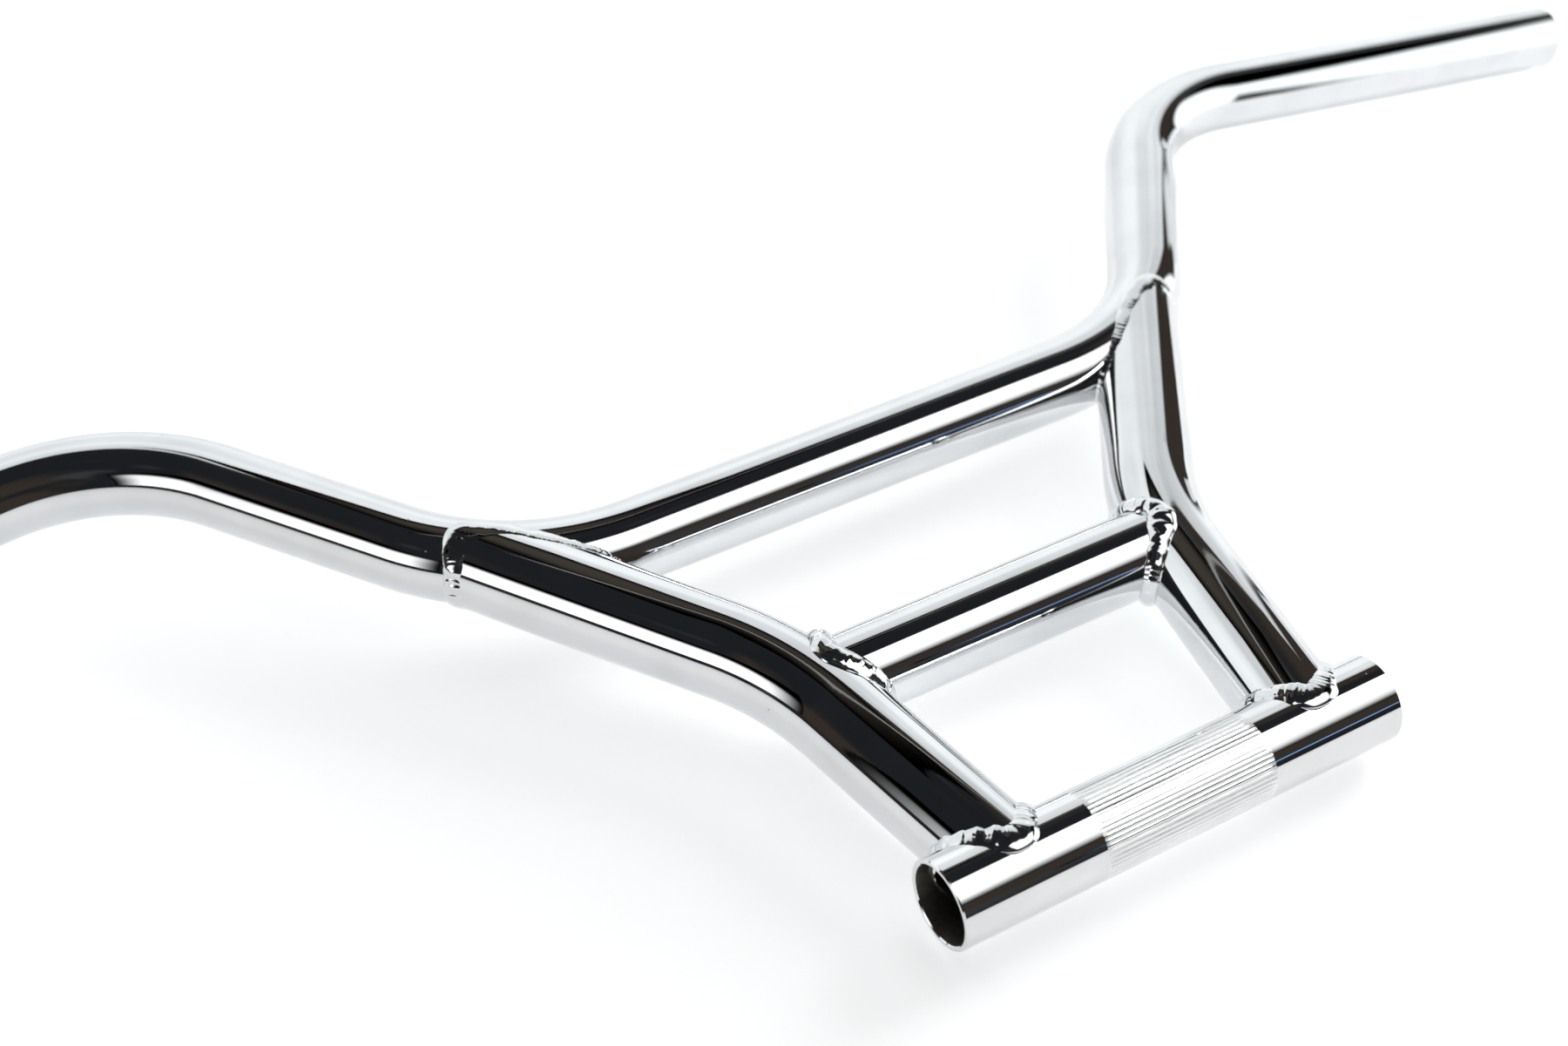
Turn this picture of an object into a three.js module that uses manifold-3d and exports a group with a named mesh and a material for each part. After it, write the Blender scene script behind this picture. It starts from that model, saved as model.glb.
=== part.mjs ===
// Chrome-plated steel handlebar, welded up from five lengths of round tube.
//
// It lies on its rider side, as it would on a bench. X runs across the bar, +Y from the clamp tube
// towards the crossbar and +Z up off the bench. The origin is on the bench, under the middle of the
// whole bar. The clamp tube, risers, crossbar and arms share one plane, the bar plane. Only the grip
// sections leave it, swept towards the rider, so the bar plane leans up from the bench by LEAN.
// Inside the bar plane the clamp tube's axis is the X axis. Millimetres.

import * as THREE from 'three';
import Module from 'manifold-3d';
import { mergeVertices } from 'three/addons/utils/BufferGeometryUtils.js';

const wasm = await Module();
wasm.setup();

// Tube stock
const BAR_RADIUS = 12.7;
const BAR_WALL = 1.6;
const RISER_RADIUS = 14;
const RISER_WALL = 1.5;
const FIT_GAP = 0.3;

// Main bar, given by its corners in the bar plane
const CROSSBAR_Y = 154.5;
const INNER_CORNER_X = 113.8;
const INNER_BEND = 74.7;
const OUTER_CORNER = new THREE.Vector3(194, 266.3, 0);
const OUTER_BEND = 72.8;
const GRIP_END = new THREE.Vector3(400.4, 259.8, -24);

// Risers
const FOOT_X = 48.9;
const FOOT_LIP_Y = 1;
const RISER_CORNER = new THREE.Vector3(63.3, 86.7, 0);
const RISER_AIM = new THREE.Vector3(122.9, 174.5, 0);
const RISER_BEND = 95;
const RISER_TOP = 101.5;
const MITRE_AT = 96;
const MITRE_ANGLE = 1.01;

// Cross brace and clamp tube
const BRACE_Y = 77.7;
const CLAMP_LENGTH = 143.6;
const KNURL_LENGTH = 55;
const KNURL_TEETH = 60;
const KNURL_DEPTH = 0.4;
const KNURL_LAND = 0.45;

// Weld runs
const MAIN_WELD_RADIUS = 2.8;
const BRACE_WELD_RADIUS = 2.9;
const FOOT_WELD_RADIUS = 2.6;
const MAIN_WELD_SINK = 0.8;
const FOOT_WELD_SINK = 1.2;
const WELD_STEPS = 36;
const WELD_SIDES = 6;

// Facets
const OUTER_SIDES = 28;
const INNER_SIDES = 16;
const INNER_STEPS = 7;
const OUTER_STEPS = 7;
const RISER_STEPS = 5;

// How far the bar plane leans up from the bench, and the side length of the trimming block
const LEAN = 0.0834;
const BLOCK = 80;

const CHROME = { color: 0xd6dadd, roughness: 0.06, metalness: 1 };
const KNURL_CHROME = { color: 0xcfd3d6, roughness: 0.12, metalness: 1 };
const WELD_CHROME = { color: 0xc9cdd0, roughness: 0.16, metalness: 1 };

// A tube's centreline: straight legs between corners, each corner rounded to a true arc.
// Parameters run evenly over the stations, so straight legs carry no rings between their ends.
class BentPath extends THREE.Curve {
  constructor(corners, bends, steps) {
    super();
    this.stations = [];
    const first = corners[0];
    this.addStation(first, corners[1].clone().sub(first).normalize());
    for (let i = 1; i < corners.length - 1; i += 1) {
      this.addBend(corners[i - 1], corners[i], corners[i + 1], bends[i - 1], steps[i - 1]);
    }
    const last = corners[corners.length - 1];
    this.addStation(last, last.clone().sub(corners[corners.length - 2]).normalize());
  }

  addStation(point, tangent) {
    this.stations.push({ point: point.clone(), tangent: tangent.clone() });
  }

  addBend(before, corner, after, radius, steps) {
    const into = corner.clone().sub(before).normalize();
    const out = after.clone().sub(corner).normalize();
    const turn = into.angleTo(out);
    const axis = into.clone().cross(out).normalize();
    const start = corner.clone().addScaledVector(into, -radius * Math.tan(turn / 2));
    const centre = start.clone().addScaledVector(axis.clone().cross(into), radius);
    const spoke = start.clone().sub(centre);
    for (let k = 0; k <= steps; k += 1) {
      const angle = (turn * k) / steps;
      const point = spoke.clone().applyAxisAngle(axis, angle).add(centre);
      this.addStation(point, into.clone().applyAxisAngle(axis, angle));
    }
  }

  between(u) {
    const last = this.stations.length - 1;
    const place = THREE.MathUtils.clamp(u, 0, 1) * last;
    const low = Math.min(Math.floor(place + 1e-6), last - 1);
    return { low, share: place - low };
  }

  getPoint(u, target = new THREE.Vector3()) {
    const { low, share } = this.between(u);
    return target.lerpVectors(this.stations[low].point, this.stations[low + 1].point, share);
  }

  getPointAt(u, target) {
    return this.getPoint(u, target);
  }

  getTangent(u, target = new THREE.Vector3()) {
    const { low, share } = this.between(u);
    const { tangent } = this.stations[low];
    return target.lerpVectors(tangent, this.stations[low + 1].tangent, share).normalize();
  }

  getTangentAt(u, target) {
    return this.getTangent(u, target);
  }

  distanceTo(point) {
    const nearest = new THREE.Vector3();
    const leg = new THREE.Line3();
    let best = Infinity;
    for (let i = 0; i < this.stations.length - 1; i += 1) {
      leg.set(this.stations[i].point, this.stations[i + 1].point);
      leg.closestPointToPoint(point, true, nearest);
      best = Math.min(best, nearest.distanceTo(point));
    }
    return best;
  }
}

function circlePoints(radius, sides) {
  const points = [];
  for (let i = 0; i < sides; i += 1) {
    const angle = (2 * Math.PI * i) / sides;
    points.push(new THREE.Vector2(radius * Math.cos(angle), radius * Math.sin(angle)));
  }
  return points;
}

function sweep(shape, path) {
  const settings = { steps: path.stations.length - 1, bevelEnabled: false, extrudePath: path };
  return new THREE.ExtrudeGeometry(shape, settings);
}

function tube(path, radius, wall) {
  const shape = new THREE.Shape(circlePoints(radius, OUTER_SIDES));
  shape.holes.push(new THREE.Path(circlePoints(radius - wall, INNER_SIDES)));
  return solid(sweep(shape, path));
}

function rod(path, radius) {
  return solid(sweep(new THREE.Shape(circlePoints(radius, OUTER_SIDES)), path));
}

function solid(geometry) {
  const bare = geometry.clone();
  bare.deleteAttribute('normal');
  bare.deleteAttribute('uv');
  const merged = mergeVertices(bare, 1e-4);
  const mesh = new wasm.Mesh({
    numProp: 3,
    vertProperties: new Float32Array(merged.attributes.position.array),
    triVerts: new Uint32Array(merged.index.array),
  });
  return new wasm.Manifold(mesh);
}

function piece(name, body, look) {
  const mesh = body.getMesh();
  const geometry = new THREE.BufferGeometry();
  geometry.setAttribute('position', new THREE.BufferAttribute(mesh.vertProperties, 3));
  geometry.setIndex(new THREE.BufferAttribute(mesh.triVerts, 1));
  geometry.computeVertexNormals();
  const node = new THREE.Mesh(geometry, new THREE.MeshStandardMaterial(look));
  node.name = name;
  return node;
}

// The centrelines. side is -1 for the left half of the bar and +1 for the right.

function onSide(point, side) {
  return new THREE.Vector3(point.x * side, point.y, point.z);
}

function mainPath() {
  const inner = new THREE.Vector3(INNER_CORNER_X, CROSSBAR_Y, 0);
  const left = [GRIP_END, OUTER_CORNER, inner].map((point) => onSide(point, -1));
  const corners = [...left, inner, OUTER_CORNER, GRIP_END];
  const bends = [OUTER_BEND, INNER_BEND, INNER_BEND, OUTER_BEND];
  return new BentPath(corners, bends, [OUTER_STEPS, INNER_STEPS, INNER_STEPS, OUTER_STEPS]);
}

function riserAxis(side) {
  const corner = onSide(RISER_CORNER, side);
  const along = onSide(RISER_AIM, side).sub(corner).normalize();
  const inward = new THREE.Vector3(0, 0, 1).cross(along).multiplyScalar(side);
  return { corner, along, inward };
}

function riserPath(side, footY, top) {
  const corner = onSide(RISER_CORNER, side);
  const foot = new THREE.Vector3(FOOT_X * side, 0, 0);
  const start = foot.clone().lerp(corner, footY / corner.y);
  const end = corner.clone().addScaledVector(riserAxis(side).along, top);
  return new BentPath([start, corner, end], [RISER_BEND], [RISER_STEPS]);
}

function straightPath(halfLength, y) {
  return new BentPath([new THREE.Vector3(-halfLength, y, 0), new THREE.Vector3(halfLength, y, 0)], [], []);
}

// Space one fit gap larger than a tube, kept clear of everything that butts against it

function mainSpace() {
  return rod(mainPath(), BAR_RADIUS + FIT_GAP);
}

function clampSpace() {
  return rod(straightPath(CLAMP_LENGTH / 2 + FIT_GAP, 0), BAR_RADIUS + FIT_GAP);
}

function braceSpace() {
  return rod(straightPath(RISER_CORNER.x, BRACE_Y), BAR_RADIUS + FIT_GAP);
}

// The block beyond the slanted mitre that ends a riser on its crossbar side
function mitreBlock(side, backOff) {
  const { corner, along, inward } = riserAxis(side);
  const facing = along.clone().multiplyScalar(Math.cos(MITRE_ANGLE));
  facing.addScaledVector(inward, Math.sin(MITRE_ANGLE));
  const centre = corner.clone().addScaledVector(along, MITRE_AT);
  centre.addScaledVector(facing, BLOCK / 2 + backOff);
  const turn = new THREE.Quaternion().setFromUnitVectors(new THREE.Vector3(1, 0, 0), facing);
  const block = new THREE.BoxGeometry(BLOCK, BLOCK, BLOCK);
  block.applyQuaternion(turn);
  block.translate(centre.x, centre.y, centre.z);
  return solid(block);
}

// A riser's outside, coped and mitred as the tube is. grow widens it to keep a weld clear of it.
function riserSpace(side, grow) {
  const full = rod(riserPath(side, FOOT_LIP_Y - grow, RISER_TOP + grow), RISER_RADIUS + grow);
  const cope = rod(mainPath(), BAR_RADIUS + FIT_GAP - grow);
  return full.subtract(cope).subtract(mitreBlock(side, grow));
}

function mainBar() {
  return tube(mainPath(), BAR_RADIUS, BAR_WALL);
}

function riser(side) {
  const blank = tube(riserPath(side, FOOT_LIP_Y, RISER_TOP), RISER_RADIUS, RISER_WALL);
  return blank.subtract(mainSpace()).subtract(clampSpace()).subtract(mitreBlock(side, 0));
}

function crossBrace() {
  const blank = tube(straightPath(RISER_CORNER.x - 2, BRACE_Y), BAR_RADIUS, BAR_WALL);
  const left = rod(riserPath(-1, FOOT_LIP_Y, RISER_TOP), RISER_RADIUS + FIT_GAP);
  const right = rod(riserPath(1, FOOT_LIP_Y, RISER_TOP), RISER_RADIUS + FIT_GAP);
  return blank.subtract(left).subtract(right);
}

// One groove per tooth, so the lands between grooves stay at the tube's full radius
function knurlPoints() {
  const points = [];
  const pitch = (2 * Math.PI) / KNURL_TEETH;
  for (let i = 0; i < KNURL_TEETH; i += 1) {
    const low = (i + KNURL_LAND) * pitch;
    const deep = (i + (1 + KNURL_LAND) / 2) * pitch;
    const root = BAR_RADIUS - KNURL_DEPTH;
    points.push(new THREE.Vector2(BAR_RADIUS * Math.cos(i * pitch), BAR_RADIUS * Math.sin(i * pitch)));
    points.push(new THREE.Vector2(BAR_RADIUS * Math.cos(low), BAR_RADIUS * Math.sin(low)));
    points.push(new THREE.Vector2(root * Math.cos(deep), root * Math.sin(deep)));
  }
  return points;
}

function plainEnd(side) {
  const from = new THREE.Vector3((side * KNURL_LENGTH) / 2, 0, 0);
  const to = new THREE.Vector3((side * CLAMP_LENGTH) / 2, 0, 0);
  const shape = new THREE.Shape(circlePoints(BAR_RADIUS, 2 * OUTER_SIDES));
  return solid(sweep(shape, new BentPath([from, to], [], [])));
}

function clampTube() {
  const knurled = solid(sweep(new THREE.Shape(knurlPoints()), straightPath(KNURL_LENGTH / 2, 0)));
  const bore = rod(straightPath(CLAMP_LENGTH / 2 + 1, 0), BAR_RADIUS - BAR_WALL);
  return knurled.add(plainEnd(-1)).add(plainEnd(1)).subtract(bore);
}

// The closed line round a tube where it runs into another. reach(point) is negative on the tube
// itself and turns positive past its end, and start and stop bracket that along the tube.
function seam(origin, along, across, radius, start, stop, reach) {
  const up = along.clone().cross(across);
  const points = [];
  for (let i = 0; i < WELD_STEPS; i += 1) {
    const angle = (2 * Math.PI * i) / WELD_STEPS;
    const rim = origin.clone().addScaledVector(across, radius * Math.cos(angle));
    rim.addScaledVector(up, radius * Math.sin(angle));
    let low = start;
    let high = stop;
    while (high - low > 0.01) {
      const middle = (low + high) / 2;
      if (reach(rim.clone().addScaledVector(along, middle), middle) < 0) {
        low = middle;
      } else {
        high = middle;
      }
    }
    points.push(rim.addScaledVector(along, low));
  }
  return new THREE.CatmullRomCurve3(points, true, 'centripetal');
}

function bead(line, radius) {
  return solid(new THREE.TubeGeometry(line, WELD_STEPS, radius, WELD_SIDES, true));
}

function mainWeld(side) {
  const { corner, along, inward } = riserAxis(side);
  const path = mainPath();
  const mitreSlope = Math.tan(MITRE_ANGLE);
  const reach = (point, s) => {
    const across = point.clone().sub(corner).dot(inward);
    const coped = BAR_RADIUS - path.distanceTo(point);
    return Math.max(coped, s + mitreSlope * across - MITRE_AT, s - RISER_TOP);
  };
  const rim = RISER_RADIUS - MAIN_WELD_SINK;
  const line = seam(corner, along, inward, rim, 30, RISER_TOP + 1, reach);
  const run = bead(line, MAIN_WELD_RADIUS);
  return run.subtract(mainSpace()).subtract(riserSpace(side, FIT_GAP));
}

function footWeld(side) {
  const corner = onSide(RISER_CORNER, side);
  const foot = new THREE.Vector3(FOOT_X * side, 0, 0);
  const along = foot.clone().sub(corner).normalize();
  const across = new THREE.Vector3(0, 0, 1);
  const rim = RISER_RADIUS - FOOT_WELD_SINK;
  const reach = (point) => {
    const coped = BAR_RADIUS - Math.hypot(point.y, point.z);
    return Math.max(coped, FOOT_LIP_Y - point.y);
  };
  const line = seam(corner, along, across, rim, 40, corner.distanceTo(foot), reach);
  const run = bead(line, FOOT_WELD_RADIUS);
  const riserSide = rod(riserPath(side, FOOT_LIP_Y - FIT_GAP, RISER_TOP), RISER_RADIUS + FIT_GAP);
  return run.subtract(clampSpace()).subtract(riserSide);
}

function braceWeld(side) {
  const origin = new THREE.Vector3(0, BRACE_Y, 0);
  const along = new THREE.Vector3(side, 0, 0);
  const across = new THREE.Vector3(0, 0, 1);
  const path = riserPath(side, FOOT_LIP_Y, RISER_TOP);
  const reach = (point) => RISER_RADIUS - path.distanceTo(point);
  const line = seam(origin, along, across, BAR_RADIUS, 20, RISER_CORNER.x - 2, reach);
  const run = bead(line, BRACE_WELD_RADIUS);
  const riserSide = rod(path, RISER_RADIUS + FIT_GAP);
  return run.subtract(braceSpace()).subtract(riserSide);
}

const barPlane = new THREE.Group();
barPlane.name = 'bar_plane';
barPlane.rotation.x = LEAN;
barPlane.add(
  piece('main_bar', mainBar(), CHROME),
  piece('riser_left', riser(-1), CHROME),
  piece('riser_right', riser(1), CHROME),
  piece('cross_brace', crossBrace(), CHROME),
  piece('clamp_tube', clampTube(), KNURL_CHROME),
  piece('weld_main_left', mainWeld(-1), WELD_CHROME),
  piece('weld_main_right', mainWeld(1), WELD_CHROME),
  piece('weld_brace_left', braceWeld(-1), WELD_CHROME),
  piece('weld_brace_right', braceWeld(1), WELD_CHROME),
  piece('weld_clamp_left', footWeld(-1), WELD_CHROME),
  piece('weld_clamp_right', footWeld(1), WELD_CHROME),
);

// Set down on the bench, with the origin under the middle of the bar
const extent = new THREE.Box3().setFromObject(barPlane, true);
const middle = extent.getCenter(new THREE.Vector3());
const handlebar = new THREE.Group();
handlebar.name = 'handlebar';
handlebar.add(barPlane);
barPlane.position.set(-middle.x, -middle.y, -extent.min.z);

export default handlebar;
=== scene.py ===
"""A welded, chrome-plated tubular handlebar on a white studio table.

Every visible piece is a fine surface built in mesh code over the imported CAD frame. Shapes are worked
out in the bar plane, in millimetres, with the clamp tube's axis as X, and set down with place().
"""

import math

import bpy
import numpy as np
from mathutils import Matrix, Vector


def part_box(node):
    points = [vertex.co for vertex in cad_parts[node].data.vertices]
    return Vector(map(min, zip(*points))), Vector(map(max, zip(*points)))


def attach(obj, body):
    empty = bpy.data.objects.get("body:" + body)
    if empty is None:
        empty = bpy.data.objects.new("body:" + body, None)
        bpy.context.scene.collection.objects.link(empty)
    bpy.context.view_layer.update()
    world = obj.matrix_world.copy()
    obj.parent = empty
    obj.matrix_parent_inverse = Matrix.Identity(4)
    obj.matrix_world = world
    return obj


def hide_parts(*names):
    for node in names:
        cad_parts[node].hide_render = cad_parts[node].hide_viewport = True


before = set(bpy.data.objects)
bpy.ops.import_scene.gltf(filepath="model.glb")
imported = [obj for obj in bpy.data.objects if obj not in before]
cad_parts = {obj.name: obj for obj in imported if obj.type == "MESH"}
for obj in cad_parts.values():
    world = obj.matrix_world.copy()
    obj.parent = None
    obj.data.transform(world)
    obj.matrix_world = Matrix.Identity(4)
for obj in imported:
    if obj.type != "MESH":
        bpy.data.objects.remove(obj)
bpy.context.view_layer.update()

# Tube stock, in millimetres
BAR_RADIUS = 12.7
BAR_WALL = 1.6
RISER_RADIUS = 14.0
RISER_WALL = 1.5
RIM_CHAMFER = 0.35

# Main bar, by its corners in the bar plane
CROSSBAR_Y = 154.5
INNER_CORNER_X = 113.8
INNER_BEND = 74.7
OUTER_CORNER = (194.0, 266.3, 0.0)
OUTER_BEND = 72.8
GRIP_END = (400.4, 259.8, -24.0)

# Risers, by the corner of their centreline and a point that the upper leg aims at
FOOT_X = 48.9
RISER_CORNER = (63.3, 86.7, 0.0)
RISER_AIM = (122.9, 174.5, 0.0)
RISER_BEND = 95.0

# The foot's cope stops this far above the plane of the clamp tube's axis
FOOT_LIP_Y = 1.0

# The mouth ends at a slanted cut (distance up the upper leg, angle in radians) or at its highest point
MITRE_AT = 96.0
MITRE_ANGLE = 1.01
RISER_TOP = 101.5

# Cross brace, and its clearance from the risers under the welds
BRACE_Y = 77.7
BRACE_CLEARANCE = 0.1

# Clamp tube and its knurl
CLAMP_LENGTH = 143.6
KNURL_LENGTH = 55.0
KNURL_TEETH = 60
KNURL_DEPTH = 0.16

# Each groove runs out over this length, at a place this far from the knurl's nominal end
RUN_OUT = 0.9
RUN_OUT_PLACE = (-0.9, 0.5)
KNURL_SEED = 11

# The bar plane leans up from the table by this angle
LEAN = 0.0834

# Mesh fineness
TUBE_SIDES = 112
LEG_STEP = 6.0
BEND_STEP = 2.0
PATH_STEP = 0.5
RISER_RINGS = (14, 24, 30)
BRACE_RINGS = 26
BORE_RINGS = 12
SEAM_STEPS = 720
WELD_STEP = 0.3
WELD_SIDES = 30
BISECTIONS = 22

# The extra ring beside each rim, which keeps the shading true up to the rim
RIM_LOOP = 0.12

# How far the round skins lie inside the nominal radius, so that they stay in the frame's box
SKIN_INSET = 0.13
CLAMP_INSET = 0.02

# One tooth of the knurl: share of the pitch, and share of the groove's depth
TOOTH_PROFILE = ((0.0, 0.0), (0.12, 0.0), (0.24, 0.0), (0.4, 0.6), (0.62, 1.0), (0.84, 0.6))

# Welds: the usual length of a lump, how deep the bead's centre line sits in the riser's wall at each
# end and how far past the mouth it lies, and how far a ripple bows and leans, in pitches
LUMP_LENGTH = 6.0
MOUTH_BITE = 0.8
MOUTH_LIFT = 0.6
FOOT_BITE = 1.2
RIPPLE_BOW = 0.75
RIPPLE_LEAN = 0.12

# Material slots of a tube's mesh
PLATE, BORE, GROOVE = 0, 1, 2

MM = 0.001
TAU = 2 * math.pi

clamp_low, clamp_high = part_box("clamp_tube")
CLAMP_CENTRE = np.array((clamp_low + clamp_high) / 2)


# ---------------------------------------------------------------- placing and meshes


def lean_matrix():
    cos, sin = math.cos(LEAN), math.sin(LEAN)
    return np.array([[1, 0, 0], [0, cos, -sin], [0, sin, cos]])


def place(points):
    """Bar-plane millimetres to row-frame metres."""
    return points @ lean_matrix().T * MM + CLAMP_CENTRE


def unit(v):
    return v / np.maximum(np.linalg.norm(v, axis=-1, keepdims=True), 1e-12)


def mirrored(points, side):
    return points * np.array([side, 1.0, 1.0])


def scene_object(name, data):
    body = bpy.data.objects.new(name, data)
    bpy.context.scene.collection.objects.link(body)
    return body


def ring_faces(rows, columns):
    """Quads of a grid that closes on itself both ways."""
    row, column = np.meshgrid(np.arange(rows), np.arange(columns), indexing="ij")
    up, along = (row + 1) % rows, (column + 1) % columns
    corners = [row * columns + column, row * columns + along, up * columns + along, up * columns + column]
    return np.stack(corners, -1).reshape(-1, 4)


def signed_volume(points, faces):
    a, b, c, d = (points[faces[:, k]] for k in range(4))
    first = np.einsum("ij,ij->i", a, np.cross(b, c))
    second = np.einsum("ij,ij->i", a, np.cross(c, d))
    return (first + second).sum() / 6


def closed_skin(name, grid, materials, which=None, sharp_rows=None):
    """A closed body from a (rows, columns, 3) grid that wraps round both ways. which holds the
    material of each row, or of each face. The rows in sharp_rows keep flat facets."""
    rows, columns = grid.shape[:2]
    points = place(grid.reshape(-1, 3))
    faces = ring_faces(rows, columns)
    if signed_volume(points - points.mean(0), faces) < 0:
        faces = faces[:, ::-1]
    mesh = bpy.data.meshes.new(name)
    mesh.from_pydata(points.tolist(), [], faces.tolist())
    for material in materials:
        mesh.materials.append(material)
    if which is not None:
        which = np.broadcast_to(which.reshape(rows, -1), (rows, columns))
        mesh.polygons.foreach_set("material_index", which.ravel().astype(np.int32))
    sharp = np.zeros(rows, bool) if sharp_rows is None else sharp_rows
    mesh.polygons.foreach_set("use_smooth", np.repeat(~sharp, columns))
    mesh.update()
    return scene_object(name, mesh)


# ---------------------------------------------------------------- centrelines


def turned(v, axis, angle):
    """v turned about axis by each of the angles."""
    cos, sin = np.cos(angle)[:, None], np.sin(angle)[:, None]
    return v * cos + np.cross(axis, v) * sin + axis * np.dot(axis, v) * (1 - cos)


class TubePath:
    """Straight legs joined by true arcs, carrying a frame (along, side, front) without twist."""

    def __init__(self, corners, bends):
        corners = [np.array(c, float) for c in corners]
        self.legs = []
        self.length = 0.0
        self.here = corners[0]
        self.along = unit(corners[1] - corners[0])
        self.side = unit(np.cross([0, 0, 1.0], self.along))
        for i, bend in enumerate(bends, start=1):
            out = unit(corners[i + 1] - corners[i])
            turn = math.acos(np.clip(self.along @ out, -1, 1))
            start = corners[i] - self.along * bend * math.tan(turn / 2)
            self.add_straight(np.linalg.norm(start - self.here))
            self.add_arc(unit(np.cross(self.along, out)), bend, turn)
        self.add_straight(np.linalg.norm(corners[-1] - self.here))

    def add_straight(self, length):
        leg = dict(start=self.length, length=length, point=self.here, along=self.along, side=self.side)
        self.legs.append(dict(leg, axis=None))
        self.here = self.here + self.along * length
        self.length += length

    def add_arc(self, axis, radius, turn):
        centre = self.here + np.cross(axis, self.along) * radius
        length = radius * turn
        leg = dict(start=self.length, length=length, point=self.here, along=self.along, side=self.side)
        self.legs.append(dict(leg, axis=axis, radius=radius, centre=centre))
        angle = np.array([turn])
        self.here = centre + turned(self.here - centre, axis, angle)[0]
        self.along = turned(self.along, axis, angle)[0]
        self.side = turned(self.side, axis, angle)[0]
        self.length += length

    def at(self, s):
        """Points, directions and the two side directions at each distance along the path."""
        s = np.asarray(s, float)
        flat = s.ravel()
        point, along, side = (np.zeros((flat.size, 3)) for _ in range(3))
        which = np.searchsorted([leg["start"] for leg in self.legs], flat, side="right") - 1
        which = np.clip(which, 0, len(self.legs) - 1)
        for k, leg in enumerate(self.legs):
            here = which == k
            ahead = flat[here] - leg["start"]
            if leg["axis"] is None:
                point[here] = leg["point"] + leg["along"] * ahead[:, None]
                along[here], side[here] = leg["along"], leg["side"]
            else:
                angle = ahead / leg["radius"]
                point[here] = leg["centre"] + turned(leg["point"] - leg["centre"], leg["axis"], angle)
                along[here] = turned(leg["along"], leg["axis"], angle)
                side[here] = turned(leg["side"], leg["axis"], angle)
        front = np.cross(along, side)
        shape = s.shape + (3,)
        return point.reshape(shape), along.reshape(shape), side.reshape(shape), front.reshape(shape)

    def stations(self):
        """Distances to put rings at: close together in the bends, wide apart on the legs."""
        marks = []
        for leg in self.legs:
            step = LEG_STEP if leg["axis"] is None else BEND_STEP
            count = max(2, math.ceil(leg["length"] / step))
            marks.append(leg["start"] + leg["length"] * np.arange(count) / count)
        return np.append(np.concatenate(marks), self.length)

    def nearest(self, points, low=0.0, high=None):
        """Distance from each point to the path, and the nearest place on it."""
        s = np.arange(low, self.length if high is None else high, PATH_STEP)
        line = self.at(s)[0]
        a, d = line[:-1], np.diff(line, axis=0)
        reach = points[:, None, :] - a[None]
        share = np.clip((reach * d).sum(-1) / (d * d).sum(-1), 0, 1)
        foot = a[None] + share[..., None] * d[None]
        gap = np.linalg.norm(points[:, None, :] - foot, axis=-1)
        best = gap.argmin(1)
        row = np.arange(len(points))
        return gap[row, best], foot[row, best]


def main_path():
    inner = (INNER_CORNER_X, CROSSBAR_Y, 0.0)
    right = [inner, OUTER_CORNER, GRIP_END]
    left = [(-x, y, z) for x, y, z in reversed(right)]
    return TubePath(left + right, [OUTER_BEND, INNER_BEND, INNER_BEND, OUTER_BEND])


def riser_path():
    """The right riser, from the clamp tube's axis to past its mouth."""
    corner = np.array(RISER_CORNER)
    end = corner + unit(np.array(RISER_AIM) - corner) * (RISER_TOP + 4)
    return TubePath([(FOOT_X, 0.0, 0.0), corner, end], [RISER_BEND])


MAIN = main_path()
RISER = riser_path()
CORNER = np.array(RISER_CORNER)
UPPER_LEG = unit(np.array(RISER_AIM) - CORNER)
INWARD = np.cross([0, 0, 1.0], UPPER_LEG)
FRONT = np.array([0, 0, 1.0])
ACROSS = np.array([1.0, 0, 0])
UPWARD = np.array([0, 1.0, 0])

# The stretch of the main bar, from its middle to its outer bend, that the right riser meets
RIGHT_ARM = (MAIN.length * 0.5, MAIN.length * 0.78)

# Where each search for a cut starts: up the riser's upper leg and lower leg, and out along the brace
MOUTH_SEARCH = 30.0
FOOT_SEARCH = 48.0
BRACE_SEARCH = 20.0


# ---------------------------------------------------------------- where tubes meet


def crossing(point_at, reach, low, high):
    """For each angle, the distance at which reach(point, distance) turns positive."""
    low, high = low.copy(), high.copy()
    for _ in range(BISECTIONS):
        middle = (low + high) / 2
        before = reach(point_at(middle), middle) < 0
        low, high = np.where(before, middle, low), np.where(before, high, middle)
    return low


def around(angle, one, other):
    return np.cos(angle)[:, None] * one + np.sin(angle)[:, None] * other


def riser_mouth(angle, radius):
    """Distance up the upper leg, from the riser's corner, to its welded mouth."""
    rim = CORNER + radius * around(angle, INWARD, FRONT)

    def reach(points, s):
        gap, _ = MAIN.nearest(points, *RIGHT_ARM)
        mitre = s + math.tan(MITRE_ANGLE) * ((points - CORNER) @ INWARD) - MITRE_AT
        return np.maximum(np.maximum(BAR_RADIUS - gap, mitre), s - RISER_TOP)

    low = np.full(angle.shape, MOUTH_SEARCH)
    high = np.full(angle.shape, RISER_TOP + 1)
    return crossing(lambda s: rim + UPPER_LEG * s[:, None], reach, low, high)


def riser_foot(angle, radius):
    """Distance up the riser's axis, from the clamp tube's axis, to its coped foot."""
    _, along, side, front = (v[0] for v in RISER.at(np.array([0.0])))
    rim = ACROSS * FOOT_X + radius * around(angle, side, front)

    def reach(points, down):
        return np.maximum(BAR_RADIUS - np.hypot(points[:, 1], points[:, 2]), FOOT_LIP_Y - points[:, 1])

    top = np.full(angle.shape, FOOT_SEARCH)
    down = crossing(lambda d: rim + along * (FOOT_SEARCH - d[:, None]), reach, top * 0, top)
    return FOOT_SEARCH - down


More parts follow.
